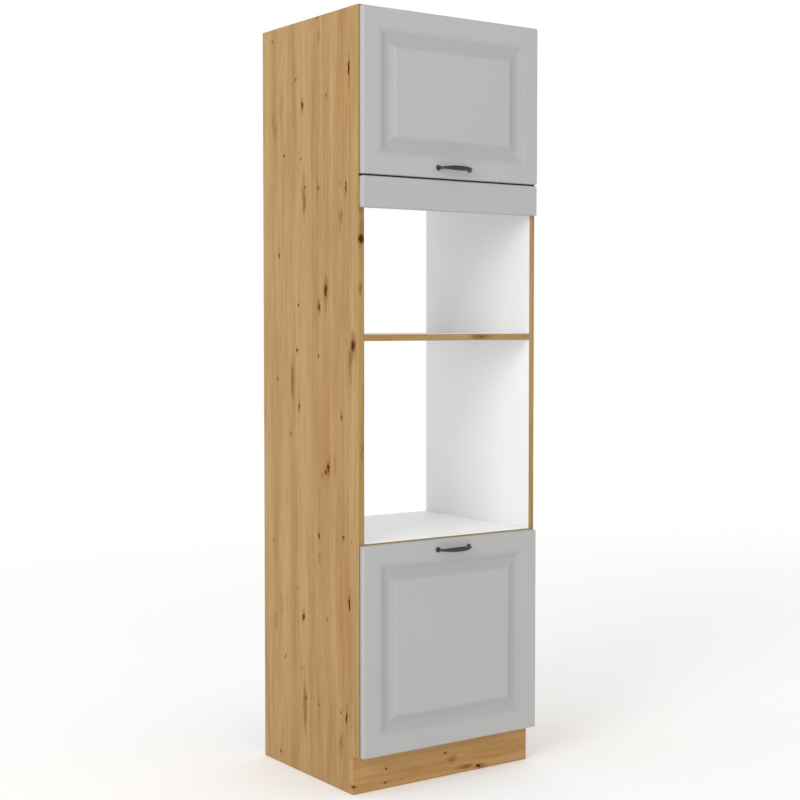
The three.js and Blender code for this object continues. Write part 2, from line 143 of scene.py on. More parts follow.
# depth in mm
def bump(tree, shader, height, strength, depth):
    node = addNode(tree, "ShaderNodeBump", {"Height": height, "Strength": strength, "Distance": depth * mm})
    tree.links.new(node.outputs[0], shader.inputs["Normal"])


# color moved towards another where a value lies between low and high
def tinted(tree, color, towards, value, low, high, strength):
    share = mathNode(tree, "MULTIPLY", fade(tree, value, low, high), strength)
    return mixColor(tree, share, color, towards)


# oak decor, its lengths in mm
oak = {
    "pale": tone(178, 148, 106),
    "light": tone(173, 142, 99),
    "honey": tone(166, 134, 90),
    "warm": tone(160, 124, 80),
    "deep": tone(158, 125, 81),
    "dark": tone(149, 114, 70),
    "rust": tone(160, 118, 70),
    "straw": tone(180, 150, 107),
    "halo": tone(122, 81, 38),
    "core": tone(74, 37, 0),
    # the dark of the gap under the flap, used as painted shadow
    "gap": tone(38, 38, 39),
    "roughness": 0.56,
    "specular": 0.04,
    "repeat": 1424.5,          # the printed pattern comes round again after this height
    "lowest": 560,             # where the knots below start
    "width": 500,              # of the pattern with the upright bands
    "sway": 50,                # how far those bands sway
    "patches": (0.3, 0.65, 0.35, 0.85),   # they grow between two values of a noise, from and to this
    "seamWidth": 2.2,
    "seamStrength": 0.45,
    "seamFade": (1.0, 0.3),    # where a seam's darkness starts, and is full, as a share of its half size
    "gapShadowBand": (3.0, 2.0),     # painted shadow of the gap under the flap: how far from the gap's middle its darkness starts, and is full
    "knotDrift": (170, (0, 11, 26)),      # patches to a metre, and how far they move the pattern
    "seamDrift": (9, (0, 12, 100)),
}

# the broad tone of a board without bands
oakBroad = [(0.32, oak["deep"]), (0.44, oak["honey"]), (0.54, oak["light"]), (0.64, oak["honey"]),
            (0.74, oak["warm"])]

# what lies over it: a noise, and the shades it moves to between two of its values, with how much of each.
# Folds turn the noise into rings, and a straight layer doesn't bend round the knots.
oakLayers = {
    "figure": {"fineness": (8, 20, 1.5), "detail": 3, "rough": 0.6,
               "shades": [("rust", 0.5, 0.7, 0.6), ("straw", 0.5, 0.32, 0.6)]},
    "flame": {"fineness": (7, 12, 0.55), "detail": 1, "rough": 0.4, "folds": 46,
              "shades": [("deep", 0.42, 0.0, 0.15)]},
    "streak": {"fineness": (50, 85, 3.6), "detail": 4, "rough": 0.68,
               "shades": [("dark", 0.5, 0.68, 0.5), ("pale", 0.5, 0.32, 0.55)]},
    "lines": {"fineness": (90, 300, 2.4), "detail": 2, "rough": 0.6,
              "shades": [("halo", 0.6, 0.78, 0.3)]},
    "fibre": {"fineness": (520, 520, 16), "detail": 3, "rough": 0.7, "straight": True,
              "shades": [("dark", 0.5, 0.75, 0.4)]},
    "pores": {"fineness": (900, 900, 26), "detail": 1, "rough": 0.5, "straight": True,
              "shades": [("halo", 0.66, 0.78, 0.4)]},
}

# upright bands of the side panels, from the front edge on: dark streaks between paler fields
sideBands = [
    (30, "honey"), (60, "warm"), (90, "deep"), (120, "honey"), (135, "honey"), (150, "deep"),
    (170, "honey"), (190, "honey"), (208, "deep"), (230, "honey"), (265, "light"), (310, "light"),
    (332, "deep"), (370, "pale"), (400, "light"), (426, "deep"), (470, "pale"),
]

# knots: across and along the grain, half width, half length, how dark the core, how brown round it
sideKnots = [
    (46, 1941, 4, 19, 1.0, 0.5), (316, 1945, 3.5, 4, 0.6, 0.5), (282, 1868, 6, 9, 0.9, 0.7),
    (158, 1880, 3.5, 5, 0.5, 0.5), (399, 1883, 8, 12, 0.0, 0.3), (436, 1828, 8, 15, 0.0, 0.5),
    (382, 1737, 4, 3.5, 0.85, 0.3), (293, 1722, 3, 4, 0.75, 0.3), (275, 1612, 7, 24, 0.2, 0.95),
    (269, 1640, 4, 6, 0.6, 0.5), (199, 1635, 3, 5, 0.85, 0.5), (87, 1637, 3, 4, 0.7, 0.3),
    (61, 1627, 3.5, 15, 0.8, 0.6), (86, 1546, 7, 11, 0.1, 0.7), (410, 1458, 3, 7, 0.65, 0.5),
    (1, 1489, 2.5, 9, 0.8, 0.4), (162, 1354, 8, 20, 0.95, 0.7), (197, 1311, 6, 9, 0.85, 0.8),
    (305, 1319, 2.8, 4, 0.8, 0.2), (312, 1192, 4, 5, 0.85, 0.5), (27, 1206, 11, 15, 0.95, 0.8),
    (41, 1160, 7, 18, 0.45, 0.8), (199, 1175, 3, 5, 0.7, 0.4), (421, 1106, 3.5, 4, 0.7, 0.4),
    (339, 1102, 6, 16, 0.2, 1.0), (334, 1138, 4, 11, 0.45, 0.6), (302, 1034, 5, 7, 0.85, 0.6),
    (84, 1015, 4, 6, 0.75, 0.6), (348, 954, 4, 4.5, 0.75, 0.4), (150, 873, 7, 12, 1.0, 0.6),
    (164, 861, 8, 7, 0.85, 0.4), (180, 849, 6, 7, 0.5, 0.3), (116, 884, 5, 11, 0.0, 0.5),
    (199, 682, 5.5, 9, 0.85, 0.6), (75, 690, 4, 6, 0.7, 0.4), (36, 683, 2.6, 3, 0.7, 0.0),
    (444, 641, 7, 2.4, 0.7, 0.1), (196, 620, 4, 6, 0.3, 0.7), (405, 1204, 4, 13, 0.1, 0.5),
]
plinthKnots = [
    (54, -192, 3, 5, 0.85, 0.5), (66, -151, 2.4, 4, 0.7, 0.3), (65, 8, 3.4, 5, 0.8, 0.5),
    (46, 32, 8, 6, 0.2, 0.7), (14, 83, 4, 12, 0.45, 0.9), (10, 125, 6, 9, 1.0, 0.8),
    (16, -195, 2.6, 4, 0.8, 0.3), (21, -296, 4, 4, 1.0, 0.7),
]
edgeKnots = [(0, 1488, 8, 12, 1.0, 0.7), (-4, 1356, 4, 8, 0.35, 0.8), (0, 1540, 6, 30, 0.0, 0.7),
             (4, 930, 4, 9, 0.5, 0.5)]
shelfKnots = [(1328, 712, 4, 13, 0.55, 0.9), (1331, 692, 3, 8, 0.3, 0.8), (1322, 399, 1.5, 3, 0.8, 0.2)]

# dark hairlines between the staves: across, along, half length
sideSeams = [(205, 1640, 240), (198, 762, 90), (333, 1990, 90)]

# a knot up to this half width and at least this dark is drawn wider and darker, but not darker than darkest
smallKnots = {"widest": 4.6, "darkFrom": 0.5, "wider": 1.13, "darker": 0.2, "darkest": 1.15}


# small dark knots came out fainter than the numbers above say
def bolder(knots):
    drawn = []
    for across, upward, halfWidth, halfLength, darkness, brownness in knots:
        if halfWidth <= smallKnots["widest"] and darkness >= smallKnots["darkFrom"]:
            halfWidth *= smallKnots["wider"]
            darkness = min(darkness + smallKnots["darker"], smallKnots["darkest"])
        drawn.append((across, upward, halfWidth, halfLength, darkness, brownness))
    return drawn


# distances are in a knot's own half widths and half lengths
knotShape = {
    "core": (1.75, 0.35),             # where the dark core starts, and is full
    "halo": (3.0, 0.4),               # the same for the brown round it
    "haloReach": (1, 1.1, 0.62),      # factors on the brown's distances: it runs out along the grain
    "bend": (5.0, 0.5, 0.0, 0.5),     # the grain bends between two distances, from and to this much
    "streaks": (120, 210, 24),        # a noise that runs the brown out in streaks
    "streakPull": 2.0,
    "brown": (1.05, 2.15, 0.8),       # from where to where it browns, and how much
    "flecks": (200, 270, 90),         # a noise that tears the core
    "fleckPull": (1.8, 0.25),
    "dark": (0.3, 1.1, 1.0),          # from where to where it darkens, and how much
}


# one knot at a place: how dark its core, how brown its surroundings, how far the grain bends round it
def knotGroup():
    group = bpy.data.node_groups.new("oakKnot", "ShaderNodeTree")
    make = group.interface.new_socket
    for name in ("Place", "Centre", "Reach"):
        make(name, in_out="INPUT", socket_type="NodeSocketVector")
    for name in ("Darkness", "Brownness", "Core", "Halo", "Bend"):
        make(name, in_out="INPUT", socket_type="NodeSocketFloat")
    for name in ("Core", "Halo", "Bend"):
        make(name, in_out="OUTPUT", socket_type="NodeSocketFloat")
    given = addNode(group, "NodeGroupInput").outputs
    apart = vectorNode(group, "SUBTRACT", given["Place"], given["Centre"])
    scaled = vectorNode(group, "MULTIPLY", apart, given["Reach"])
    distance = vectorNode(group, "LENGTH", scaled)
    longer = vectorNode(group, "LENGTH", vectorNode(group, "MULTIPLY", scaled, knotShape["haloReach"]))
    dark = mathNode(group, "MULTIPLY", fade(group, distance, *knotShape["core"]), given["Darkness"])
    haze = mathNode(group, "MULTIPLY", fade(group, longer, *knotShape["halo"]), given["Brownness"])
    across = vectorNode(group, "DOT_PRODUCT", apart, (0, 1, 0))
    pull = mathNode(group, "MULTIPLY", across, fade(group, distance, *knotShape["bend"]))
    addNode(group, "NodeGroupOutput", {
        "Core": mathNode(group, "MAXIMUM", given["Core"], dark),
        "Halo": mathNode(group, "MAXIMUM", given["Halo"], haze),
        "Bend": mathNode(group, "ADD", given["Bend"], pull),
    })
    return group


oneKnot = knotGroup()


# turns the object's axes so that X runs through the board, Y across the grain and Z along it
def layGrain(tree, place, order, shift):
    axes = addNode(tree, "ShaderNodeSeparateXYZ", {0: place}).outputs
    laid = addNode(tree, "ShaderNodeCombineXYZ", {socket: axes[axis] for socket, axis in enumerate(order)})
    return addNode(tree, "ShaderNodeMapping", {"Vector": laid.outputs[0], "Location": shift}).outputs[0]


# the grain's place moved about by a noise, and folded back into the pattern's height where it repeats
def wander(tree, grain, drifting, repeat):
    fineness, reach = drifting
    cloud = addNode(tree, "ShaderNodeTexNoise", {"Vector": grain, "Scale": fineness, "Detail": 3.0})
    centred = vectorNode(tree, "SUBTRACT", cloud.outputs["Color"], (0.5, 0.5, 0.5))
    drift = vectorNode(tree, "MULTIPLY", centred, tuple(part * mm for part in reach))
    parts = addNode(tree, "ShaderNodeSeparateXYZ", {0: vectorNode(tree, "ADD", grain, drift)}).outputs
    along = parts["Z"]
    if repeat:
        bottom = oak["lowest"] * mm
        along = mathNode(tree, "WRAP", along, bottom + oak["repeat"] * mm, bottom)
    return addNode(tree, "ShaderNodeCombineXYZ", {1: parts["Y"], 2: along}).outputs[0]


def knotField(tree, spot, knots):
    core, halo, bend = 0.0, 0.0, 0.0
    for across, upward, halfWidth, halfLength, darkness, brownness in knots:
        knot = addNode(tree, "ShaderNodeGroup", node_tree=oneKnot)
        values = {"Place": spot, "Centre": (0, across * mm, upward * mm),
                  "Reach": (0, 1 / (halfWidth * mm), 1 / (halfLength * mm)),
                  "Darkness": darkness, "Brownness": brownness, "Core": core, "Halo": halo, "Bend": bend}
        for socket, value in values.items():
            plug(tree, knot.inputs[socket], value)
        core, halo, bend = knot.outputs["Core"], knot.outputs["Halo"], knot.outputs["Bend"]
    return core, halo, bend


def seamField(tree, spot, seams):
    line = 0.0
    for across, upward, halfLength in seams:
        apart = vectorNode(tree, "SUBTRACT", spot, (0, across * mm, upward * mm))
        reach = (0, 1 / (oak["seamWidth"] * mm), 1 / (halfLength * mm))
        distance = vectorNode(tree, "LENGTH", vectorNode(tree, "MULTIPLY", apart, reach))
        line = mathNode(tree, "MAXIMUM", line, fade(tree, distance, *oak["seamFade"]))
    return line


# the upright bands of a side panel, swaying a little and stronger in some patches than in others
def bandedColor(tree, color, grain, bent, bands):
    drift = noise(tree, grain, fineness=(3, 6, 1.6))
    sway = mathNode(tree, "MULTIPLY_ADD", drift, oak["sway"] * mm, -oak["sway"] * mm / 2)
    across = mathNode(tree, "ADD", vectorNode(tree, "DOT_PRODUCT", bent, (0, 1, 0)), sway)
    share = mathNode(tree, "DIVIDE", across, oak["width"] * mm)
    banded = ramp(tree, share, [(at / oak["width"], oak[shade]) for at, shade in bands])
    patchy = fade(tree, noise(tree, grain, fineness=(4, 5, 2.2), detail=2.0), *oak["patches"])
    return mixColor(tree, patchy, color, banded)


# one of the layers over the broad tone: its colour and its noise
def layered(tree, color, grain, bent, layer):
    follows = grain if layer.get("straight") else bent
    value = noise(tree, follows, layer["fineness"], detail=layer["detail"], rough=layer["rough"])
    if "folds" in layer:
        value = mathNode(tree, "PINGPONG", mathNode(tree, "MULTIPLY", value, layer["folds"]), 1.0)
    for shade, low, high, strength in layer["shades"]:
        color = tinted(tree, color, oak[shade], value, low, high, strength)
    return color, value


# the brown round the knots runs out in streaks, and their dark cores are torn by flecks
def knottedColor(tree, color, grain, bent, core, halo):
    streaks = noise(tree, bent, knotShape["streaks"], rough=0.6)
    smear = mathNode(tree, "MULTIPLY_ADD", streaks, knotShape["streakPull"], halo)
    color = tinted(tree, color, oak["halo"], smear, *knotShape["brown"])
    flecks = noise(tree, grain, knotShape["flecks"], rough=0.7)
    torn = mathNode(tree, "MULTIPLY_ADD", flecks, *knotShape["fleckPull"])
    return tinted(tree, color, oak["core"], mathNode(tree, "MULTIPLY", core, torn), *knotShape["dark"])


# order: which of the object's axes run through, across and along the grain
def oakMaterial(name, order, shift, knots=(), bands=(), seams=(), repeat=False, gapShadowAt=0, tint=None):
    material, tree, shader, place = newMaterial(name, roughness=oak["roughness"], specular=oak["specular"])
    grain = layGrain(tree, place, order, shift)
    core, halo, bend = knotField(tree, wander(tree, grain, oak["knotDrift"], repeat), knots)
    bent = vectorNode(tree, "SUBTRACT", grain, addNode(tree, "ShaderNodeCombineXYZ", {1: bend}).outputs[0])

    color = ramp(tree, noise(tree, bent, fineness=(9, 16, 1.1), detail=4.0, rough=0.6, twist=0.4), oakBroad)
    if bands:
        color = bandedColor(tree, color, grain, bent, bands)
    values = {}
    for title, layer in oakLayers.items():
        color, values[title] = layered(tree, color, grain, bent, layer)
    if seams:
        hairline = seamField(tree, wander(tree, grain, oak["seamDrift"], repeat), seams)
        share = mathNode(tree, "MULTIPLY", hairline, oak["seamStrength"])
        color = mixColor(tree, share, color, oak["halo"])
    color = knottedColor(tree, color, grain, bent, core, halo)
    # painted shadow: a dark band across the edge at the height of the gap under the flap
    if gapShadowAt:
        above = mathNode(tree, "SUBTRACT", vectorNode(tree, "DOT_PRODUCT", grain, (0, 0, 1)), gapShadowAt * mm)
        start, full = oak["gapShadowBand"]
        dark = fade(tree, mathNode(tree, "ABSOLUTE", above), start * mm, full * mm)
        color = mixColor(tree, dark, color, oak["gap"])
    if tint:
        color = mixColor(tree, 1.0, color, tint, blend="MULTIPLY")
    tree.links.new(color, shader.inputs["Base Color"])
    bump(tree, shader, values["fibre"], strength=0.1, depth=0.4)
    return material


frontAt = -carcassFront                       # brings y = 0 to the carcass's front plane
sidePattern = {"knots": bolder(sideKnots), "bands": sideBands, "seams": sideSeams, "repeat": True}
oakLeft = oakMaterial("oakLeft", "XYZ", (0.3, frontAt, 0), **sidePattern)
oakRight = oakMaterial("oakRight", "XYZ", (-0.7, frontAt, 0.53), **sidePattern)
# the side panels' front edges carry a painted shadow where the gap under the flap lies
oakEdge = oakMaterial("oakEdge", "YXZ", (0, 0.291, 0), edgeKnots, gapShadowAt=1656, tint=(1, 0.98, 0.9, 1))
# the plinth's warmer tint is painted light on real oak: it stands in for the warm light bounced onto the
# set-back plinth
oakPlinth = oakMaterial("oakPlinth", "YZX", (0, 0, 0), plinthKnots, tint=(1.14, 1.06, 0.96, 1))
oakShelfEdge = oakMaterial("oakShelfEdge", "YZX", (0.2, 0.1, 0.6), shelfKnots, tint=(0.96, 0.97, 0.91, 1))
oakTop = oakMaterial("oakTop", "ZYX", (1.1, 0.3, 0.9))


# the smooth white of the inside
laminate = {
    "plain": (tone(229, 229, 229), tone(234, 234, 233)),
    # painted light: the shelves' lighter white stands in for the light on the niche floors
    "shelf": (tone(246, 246, 245), tone(250, 250, 249)),
    "pearl": tone(214, 214, 213),
    "pearlStrength": 0.05,
    "roughness": 0.42,
}


def whiteLaminate(name, shades):
    material, tree, shader, place = newMaterial(name, roughness=laminate["roughness"], specular=0.4)
    color = twoTone(tree, noise(tree, place, fineness=3, detail=2.0), *shades)
    pearl = noise(tree, place, fineness=1400, detail=2.0)
    share = mathNode(tree, "MULTIPLY", pearl, laminate["pearlStrength"])
    tree.links.new(mixColor(tree, share, color, laminate["pearl"]), shader.inputs["Base Color"])
    bump(tree, shader, pearl, strength=0.06, depth=0.2)
    return material


# the matt grey of the fronts
foil = {
    "shades": (tone(173, 173, 173), tone(176, 176, 175)),
    "plane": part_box("drawer_front")[0].y,
    "recessShade": [(3, 0.06), (16, 0.05)],     # painted shade, darker in recesses and round the edges: down to what depth, how much
    "roughness": (0.42, 0.5),
}


def greyFoil():
    material, tree, shader, place = newMaterial("greyFoil", specular=0.42)
    color = twoTone(tree, noise(tree, place, fineness=2.2, detail=2.0), *foil["shades"])
    # painted shade: the foil darkens with depth below the face, into the mouldings and round the edges
    depth = mathNode(tree, "SUBTRACT", vectorNode(tree, "DOT_PRODUCT", place, (0, 1, 0)), foil["plane"])
    for deep, strength in foil["recessShade"]:
        color = mixColor(tree, fade(tree, depth, 0.0, deep * mm, 0.0, strength), color, (0, 0, 0, 1))
    tree.links.new(color, shader.inputs["Base Color"])
    peel = noise(tree, place, fineness=420, detail=2.0)
    tree.links.new(fade(tree, peel, *spread, *foil["roughness"]), shader.inputs["Roughness"])
    bump(tree, shader, peel, strength=0.05, depth=0.3)
    return material


# the boards' bare edges
chipboard = {
    "chips": [(0.0, tone(140, 108, 70)), (0.4, tone(176, 143, 98)), (0.75, tone(198, 168, 122)),
              (1.0, tone(214, 190, 148))],
    "dust": tone(158, 124, 82),
    "chipsPerMetre": 420.0,
}


def chipboardCore():
    material, tree, shader, place = newMaterial("chipboardCore", roughness=0.85, specular=0.2)
    cells = addNode(tree, "ShaderNodeTexVoronoi", {"Vector": place, "Scale": chipboard["chipsPerMetre"]})
    chance = addNode(tree, "ShaderNodeSeparateXYZ", {0: cells.outputs["Color"]}).outputs["X"]
    color = ramp(tree, chance, chipboard["chips"])
    share = mathNode(tree, "MULTIPLY", noise(tree, place, fineness=1600, detail=2.0), 0.5)
    tree.links.new(mixColor(tree, share, color, chipboard["dust"]), shader.inputs["Base Color"])
    bump(tree, shader, chance, strength=0.5, depth=0.6)
    return material


def hardboard(name, light, dark, roughness):
    material, tree, shader, place = newMaterial(name, roughness=roughness, specular=0.25)
    speck = noise(tree, place, fineness=700, detail=4.0, rough=0.7)
    color = twoTone(tree, speck, dark, light)
    fibres = noise(tree, place, fineness=150, detail=4.0, rough=0.75, twist=1.5)
    color = tinted(tree, color, light, fibres, low=0.5, high=0.7, strength=0.6)
    cloud = noise(tree, place, fineness=5, detail=4.0, rough=0.6)
    color = tinted(tree, color, dark, cloud, low=0.4, high=0.7, strength=0.6)
    tree.links.new(color, shader.inputs["Base Color"])
    bump(tree, shader, speck, strength=0.2, depth=0.3)
    return material


# blotches and scratches: how many to a metre; smoother and rougher: how far its roughness strays
def metal(name, light, dark, roughness, scratches=(60, 900, 900), blotches=40,
          smoother=0.06, rougher=0.08):
    material, tree, shader, place = newMaterial(name, metallic=1.0)
    color = twoTone(tree, noise(tree, place, blotches), dark, light)
    tree.links.new(color, shader.inputs["Base Color"])
    lines = noise(tree, place, scratches, detail=2.0)
    shine = fade(tree, lines, *spread, roughness - smoother, roughness + rougher)
    tree.links.new(shine, shader.inputs["Roughness"])
    bump(tree, shader, lines, strength=0.04, depth=0.2)
    return material


def graphite(light, dark, smoothest=0.2, roughest=0.3):
    material, tree, shader, place = newMaterial("graphite", metallic=0.75)
    brushed = noise(tree, place, fineness=(40, 900, 1200))
    tree.links.new(twoTone(tree, brushed, dark, light), shader.inputs["Base Color"])
    tree.links.new(fade(tree, brushed, *spread, smoothest, roughest), shader.inputs["Roughness"])
    bump(tree, shader, brushed, strength=0.08, depth=0.2)
    return material


# speck: how much darker its fine grain gets, as a share
def plainCoat(name, color, roughness, speck=0.16):
    material, tree, shader, place = newMaterial(name, roughness=roughness)
    fine = noise(tree, place, fineness=300)
    darker = tuple(channel * (1 - speck) for channel in color[:3]) + (1,)
    tree.links.new(mixColor(tree, fine, color, darker), shader.inputs["Base Color"])
    bump(tree, shader, fine, strength=0.05, depth=0.2)
    return material


white = whiteLaminate("whiteLaminate", laminate["plain"])
# painted light: the shelves get a lighter copy of the white laminate
whiteShelfLit = whiteLaminate("whiteShelfLit", laminate["shelf"])
frontFoil = greyFoil()
chips = chipboardCore()
whiteBack = hardboard("whiteBack", tone(232, 232, 229), tone(222, 222, 219), roughness=0.6)
brownBack = hardboard("brownBack", tone(136, 98, 64), tone(108, 76, 48), roughness=0.8)
graphiteMetal = graphite(tone(72, 72, 72), tone(53, 53, 54))
zinc = metal("zinc", tone(222, 224, 227), tone(203, 206, 211), roughness=0.42, blotches=90)
nickel = metal("nickel", tone(214, 213, 209), tone(196, 195, 192), roughness=0.2, blotches=12)
rodSteel = metal("rodSteel", tone(206, 207, 208), tone(188, 189, 191), roughness=0.14,
                 scratches=(900, 900, 40))
barrelPaint = plainCoat("barrelPaint", tone(196, 197, 198), roughness=0.35)
padClear = plainCoat("padClear", tone(214, 217, 218), roughness=0.25)
# painted shade: the cupboard floor's front edge is as dark as the shade in the gap under the flap
gapShadowEdge = plainCoat("gapShadowEdge", oak["gap"], roughness=0.6)
print("materials made")


welded = 0.01 * mm            # points nearer than this are one
flush = 0.6                   # and so are faces that meet at less than this, in degrees


# a copy of a CAD node's mesh, its loose triangles joined into whole faces
def cadShape(node):
    bm = bmesh.new()
    bm.from_mesh(nodes[node].data)
    bmesh.ops.remove_doubles(bm, verts=bm.verts, dist=welded)
    bmesh.ops.dissolve_limit(bm, angle_limit=math.radians(flush), verts=bm.verts, edges=bm.edges)
    return bm


# width in mm
def bevelEdges(bm, edges, width, segments):
    bmesh.ops.bevel(bm, geom=edges, offset=width * mm, offset_type="OFFSET", affect="EDGES",
                    segments=segments, profile=0.5, material=-1, clamp_overlap=True)


# rounds off every edge that is bent by more than angle, in degrees
def roundEdges(bm, width, segments=2, angle=50):
    hard = math.radians(angle)
    bevelEdges(bm, [e for e in bm.edges if e.is_manifold and e.calc_face_angle(0) > hard], width, segments)


# faces get the finish that choose(face) names; edges bent by more than sharp, and creases, stay crisp
def finishPiece(name, bm, body, slotName, finishes, choose=None, replaced=(), sharp=50, crease=None):
    for face in bm.faces:
        face.smooth = True
        face.material_index = choose(face) if choose else 0
    crisp = math.radians(sharp)
    for edge in bm.edges:
        bent = not edge.is_manifold or edge.calc_face_angle(0) >= crisp
        edge.smooth = not (bent or crease and crease(edge))
    mesh = bpy.data.meshes.new(name)
    bm.to_mesh(mesh)
    bm.free()
    for material in finishes:
        mesh.materials.append(material)
    piece = bpy.data.objects.new(name, mesh)
    bpy.context.scene.collection.objects.link(piece)
    weighted = piece.modifiers.new("weightedNormals", "WEIGHTED_NORMAL")
    weighted.keep_sharp = True
    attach(piece, body)
    if replaced:
        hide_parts(*replaced)
    return piece


def block(low, high):
    bm = bmesh.new()
    size = high - low
    middle = (high + low) / 2
    bmesh.ops.create_cube(bm, size=1.0, matrix=Matrix.Translation(middle) @ Matrix.Diagonal((*size, 1)))
    return bm


# a turned shape: the outline's (radius, height) points in mm, spun round an axis through centre
def turned(bm, outline, centre, axis, steps):
    oldFaces = set(bm.faces)
    oldVerts = set(bm.verts)
    made = [bm.verts.new((radius * mm, 0, height * mm)) for radius, height in outline]
    edges = [bm.edges.new(pair) for pair in zip(made, made[1:])]
    bmesh.ops.spin(bm, geom=made + edges, cent=(0, 0, 0), axis=(0, 0, 1), dvec=(0, 0, 0), angle=math.tau,
                   steps=steps, use_merge=True, use_normal_flip=False, use_duplicate=False)
    bmesh.ops.remove_doubles(bm, verts=[v for v in bm.verts if v not in oldVerts], dist=welded / 10)
    bmesh.ops.recalc_face_normals(bm, faces=[f for f in bm.faces if f not in oldFaces])
    turn = Vector((0, 0, 1)).rotation_difference(Vector(axis)).to_matrix().to_4x4()
    fresh = [v for v in bm.verts if v not in oldVerts]
    bmesh.ops.transform(bm, matrix=Matrix.Translation(centre) @ turn, verts=fresh)


# carcass boards, in mm
boards = {
    "edge": 0.4,               # how far the edges are rounded off
    "sideEdge": 0.5,
    "recessTop": 110,          # below this the sides' front edges are bare, behind the plinth
}

# the finish of a shelf's faces and of its front edge, and its slot
shelves = {
    "top_panel": (oakTop, oakShelfEdge, "oak_decor"),
    # its front edge is painted dark, as painted shade in the gap under the flap
    "cupboard_floor": (white, gapShadowEdge, "white_laminate"),
    "microwave_shelf": (whiteShelfLit, oakShelfEdge, "white_laminate"),
    "oven_shelf": (whiteShelfLit, oakShelfEdge, "white_laminate"),
    "base_panel": (white, white, "white_laminate"),
}


# outside, inside, front edge, bare
def sideFinish(sign):
    def choose(face):
        outward = face.normal.x * sign
        if abs(outward) > facing:
            return 0 if outward > 0 else 1
        above = face.calc_center_median().z > boards["recessTop"] * mm
        return 2 if face.normal.y < -facing and above else 3
    return choose


# face, front edge, bare
def shelfFinish(face):
    if abs(face.normal.z) > facing:
        return 0
    return 1 if face.normal.y < -facing else 2


def makeBoards():
    for side, sign in sides.items():
        bm = cadShape(f"{side}_side_panel")
        roundEdges(bm, boards["sideEdge"])
        outside = oakLeft if sign < 0 else oakRight
        finishPiece(f"{side}_side_board", bm, "carcass", "oak_decor", [outside, white, oakEdge, chips],
                    sideFinish(sign), [f"{side}_side_panel"])
    for node, (face, edge, slotName) in shelves.items():
        bm = cadShape(node)
        roundEdges(bm, boards["edge"])
        finishPiece(f"{node}_board", bm, "carcass", slotName, [face, edge, chips], shelfFinish, [node])


makeBoards()
print("boards made")


# fronts: insets from their edge and depths below their face, in mm
front = {
    "edgeRadius": 5,
    "edgeSteps": 8,
    "backRadius": 0.8,
    "backSteps": 2,
    "backFacing": 0.9,         # what looks back by more than this is white
    "support": 0.6,            # an extra ring this near to each bend keeps the flats flat
    "fieldSupport": 0.8,
    "step": [(50.2, 0), (50.6, 0.1), (51.0, 0.5), (51.4, 0.8), (51.9, 0.9)],
    "groove": [(55.0, 0.95), (55.6, 1.1), (56.2, 1.6), (56.8, 2.0), (57.8, 2.0), (58.4, 1.85), (59.4, 1.6)],
    "cove": [(61.0, 1.7), (68.2, 7.4), (80, 10.6), (91, 5.8)],
    "coveSteps": 16,
    "bevelEnd": (104.4, 0.12),
    "field": (105.2, 0.0),
}


def bezier(points, share):
    a, b, c, d = (Vector(p) for p in points)
    rest = 1 - share
    return a * rest ** 3 + b * 3 * rest ** 2 * share + c * 3 * rest * share ** 2 + d * share ** 3


def mouldingPath():
    path = front["step"] + front["groove"]
    steps = front["coveSteps"]
    path += [tuple(bezier(front["cove"], step / steps)) for step in range(steps + 1)]
    path += [front["bevelEnd"], front["field"]]
    return path


def frontSlab(node, raised):
    low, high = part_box(node)
    middle = (low.y + high.y) / 2
    bm = block(low, high)
    forward = [e for e in bm.edges if any(v.co.y < middle for v in e.verts)]
    bevelEdges(bm, forward, front["edgeRadius"], front["edgeSteps"])
    rim = [e for e in bm.edges if all(v.co.y > high.y - welded for v in e.verts)]
    bevelEdges(bm, rim, front["backRadius"], front["backSteps"])
    face = min(bm.faces, key=lambda f: f.calc_center_median().y)
    inset, depth = front["edgeRadius"], 0.0
    path = [(front["edgeRadius"] + front["support"], 0.0)]
    if raised:
        path += [(front["step"][0][0] - front["support"], 0.0)] + mouldingPath()
        path += [(front["field"][0] + front["fieldSupport"], 0.0)]
    for nextInset, nextDepth in path:
        bmesh.ops.inset_individual(bm, faces=[face], thickness=(nextInset - inset) * mm,
                                   depth=(depth - nextDepth) * mm, use_even_offset=True)
        inset, depth = nextInset, nextDepth
    return bm


def frontFinish(face):
    return 1 if face.normal.y > front["backFacing"] else 0


# the mitre lines, where the moulding's upright and level runs meet, slant across the front
def isMitre(edge):
    along = edge.verts[1].co - edge.verts[0].co
    short, long = sorted((abs(along.x), abs(along.z)))
    return min(abs(face.normal.y) for face in edge.link_faces) > facing and short > long / 5


# node: the body it moves with, and whether it has a raised field
fronts = {
    "upper_flap": ("flap", True),
    "drawer_front": ("drawer", True),
    "fascia_panel": ("carcass", False),
}


def makeFronts():
    for node, (body, raised) in fronts.items():
        bm = frontSlab(node, raised)
        piece = finishPiece(f"{node}_foil", bm, body, "grey_foil", [frontFoil, white], frontFinish, [node],
                            sharp=60, crease=isMitre)
        if body == "flap":
            boreCups(piece)


cupBore = {"gap": 0.3, "steps": 56}


